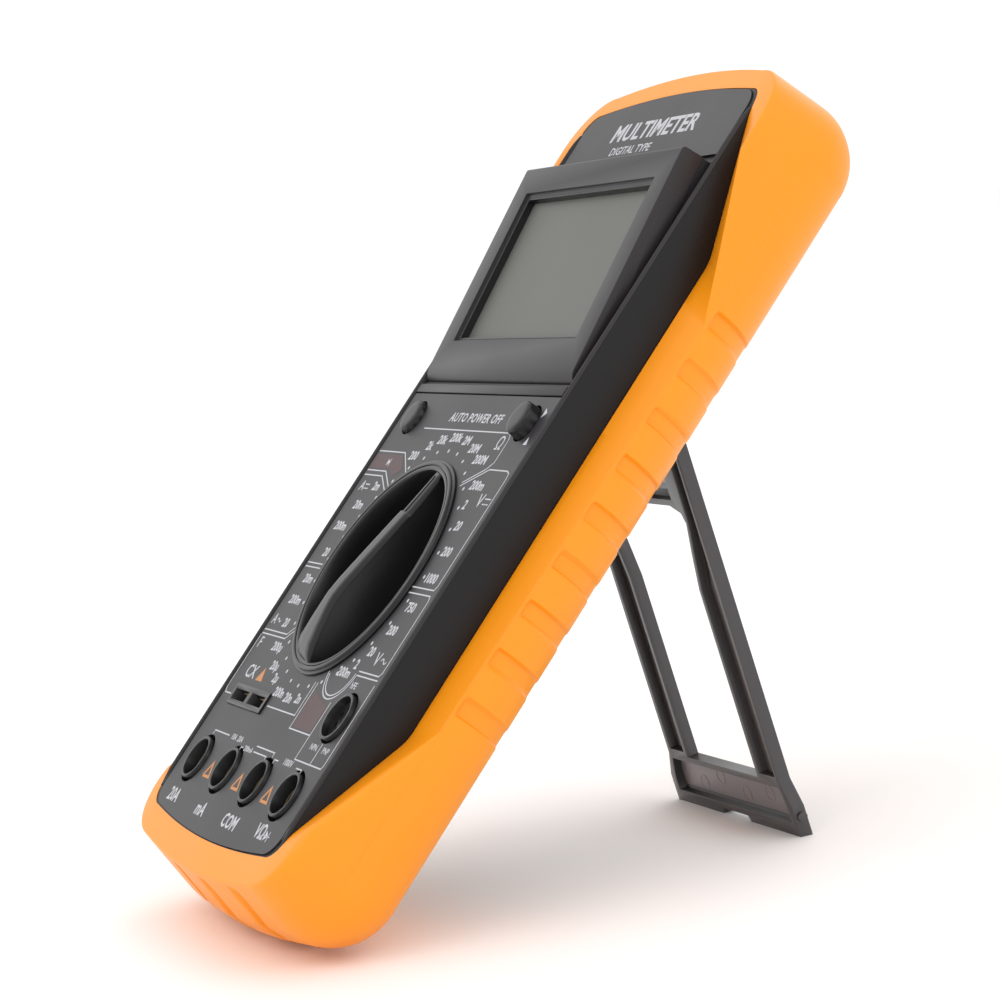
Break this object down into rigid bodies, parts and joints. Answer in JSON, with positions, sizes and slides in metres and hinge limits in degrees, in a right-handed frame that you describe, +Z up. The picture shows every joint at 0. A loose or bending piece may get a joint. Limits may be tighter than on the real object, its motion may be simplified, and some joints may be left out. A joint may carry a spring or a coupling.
{
  "type": "digital multimeter",
  "caption": "Hand-held digital multimeter in a rubber holster, leaning on its folding stand, with a tilting display, rotary range selector, push keys and banana jacks.",
  "frame": {"origin": "middle of the footprint, on the surface the meter stands on", "axes": "+X to the meter's right, +Z up; the front panel faces -Y and up, and the open stand is behind it on the +Y side"},
  "size_m": [0.0946, 0.1496, 0.1548],
  "materials": {
    "holster_rubber": "soft moulded rubber, faint satin sheen",
    "case_plastic": "fine spark-eroded texture",
    "panel_print": "screen-printed film, satin",
    "hood_plastic": "satin moulded",
    "knob_plastic": "satin moulded",
    "carrier_plastic": "natural nylon",
    "button_plastic": "satin moulded",
    "switch_plastic": "moulded",
    "socket_plastic": "moulded",
    "contact_brass": "drawn, slightly dull",
    "gold_track": "gold-flashed",
    "shunt_alloy": "drawn wire",
    "steel": "zinc plated",
    "circuit_board": "solder mask",
    "chip_epoxy": "moulded epoxy",
    "trimmer_plastic": "moulded",
    "ceramic": "coated ceramic",
    "fuse_glass": "clear tube with plated caps",
    "battery_shell": "printed steel jacket",
    "clear_window": "clear acrylic",
    "lcd": "grey-green polariser on glass",
    "elastomer": "layered conductive rubber",
    "stand_plastic": "moulded, satin"
  },
  "bodies": {
    "meter": {"holster": "holster_rubber", "front_case": "case_plastic", "rear_case": "case_plastic", "case_screws": "steel", "battery_door": "case_plastic", "lower_panel": "panel_print", "hinge_strip": "hood_plastic", "upper_panel": "panel_print", "transistor_socket": "socket_plastic", "capacitor_socket": "socket_plastic", "capacitor_contacts": "contact_brass", "power_switch": "switch_plastic", "hold_switch": "switch_plastic", "main_board": "circuit_board", "rotary_tracks": "gold_track", "converter_chip": "chip_epoxy", "trimmers": "trimmer_plastic", "thermistor": "ceramic", "shunt_wire": "shunt_alloy", "fuse": "fuse_glass", "fuse_clips": "steel", "buzzer": "contact_brass", "battery": "battery_shell", "battery_snap": "socket_plastic", "jack_shroud_20a": "socket_plastic", "jack_contact_20a": "contact_brass", "jack_shroud_ma": "socket_plastic", "jack_contact_ma": "contact_brass", "jack_shroud_com": "socket_plastic", "jack_contact_com": "contact_brass", "jack_shroud_volt": "socket_plastic", "jack_contact_volt": "contact_brass"},
    "selector": {"selector_knob": "knob_plastic", "contact_carrier": "carrier_plastic", "wipers": "contact_brass"},
    "power_key": {"power_button": "button_plastic"},
    "hold_key": {"hold_button": "button_plastic"},
    "display": {"display_hood": "hood_plastic", "display_back": "hood_plastic", "display_hinge_pins": "steel", "lcd_window": "clear_window", "lcd_glass": "lcd", "lcd_board": "circuit_board", "contact_strip": "elastomer"},
    "stand": {"stand_frame": "stand_plastic", "stand_pins": "steel"}
  },
  "joints": [
    {"name": "selector_turn", "type": "hinge", "parent": "meter", "child": "selector", "pos_m": [0, -0.02489, 0.06632], "axis": [0, -0.7232, 0.6906], "continuous": true},
    {"name": "power_latch", "type": "slide", "parent": "meter", "child": "power_key", "axis": [0, -0.7232, 0.6906], "range_m": [-0.0006, 0.0014], "stiffness_N_per_m": 100},
    {"name": "hold_press", "type": "slide", "parent": "meter", "child": "hold_key", "axis": [0, -0.7232, 0.6906], "range_m": [-0.0018, 0], "stiffness_N_per_m": 200},
    {"name": "display_tilt", "type": "hinge", "parent": "meter", "child": "display", "pos_m": [0, 0.01001, 0.09909], "axis": [1, 0, 0], "range_deg": [0, 38]},
    {"name": "stand_fold", "type": "hinge", "parent": "meter", "child": "stand", "pos_m": [0, 0.02993, 0.08926], "axis": [-1, 0, 0], "range_deg": [0, 53.9]}
  ]
}
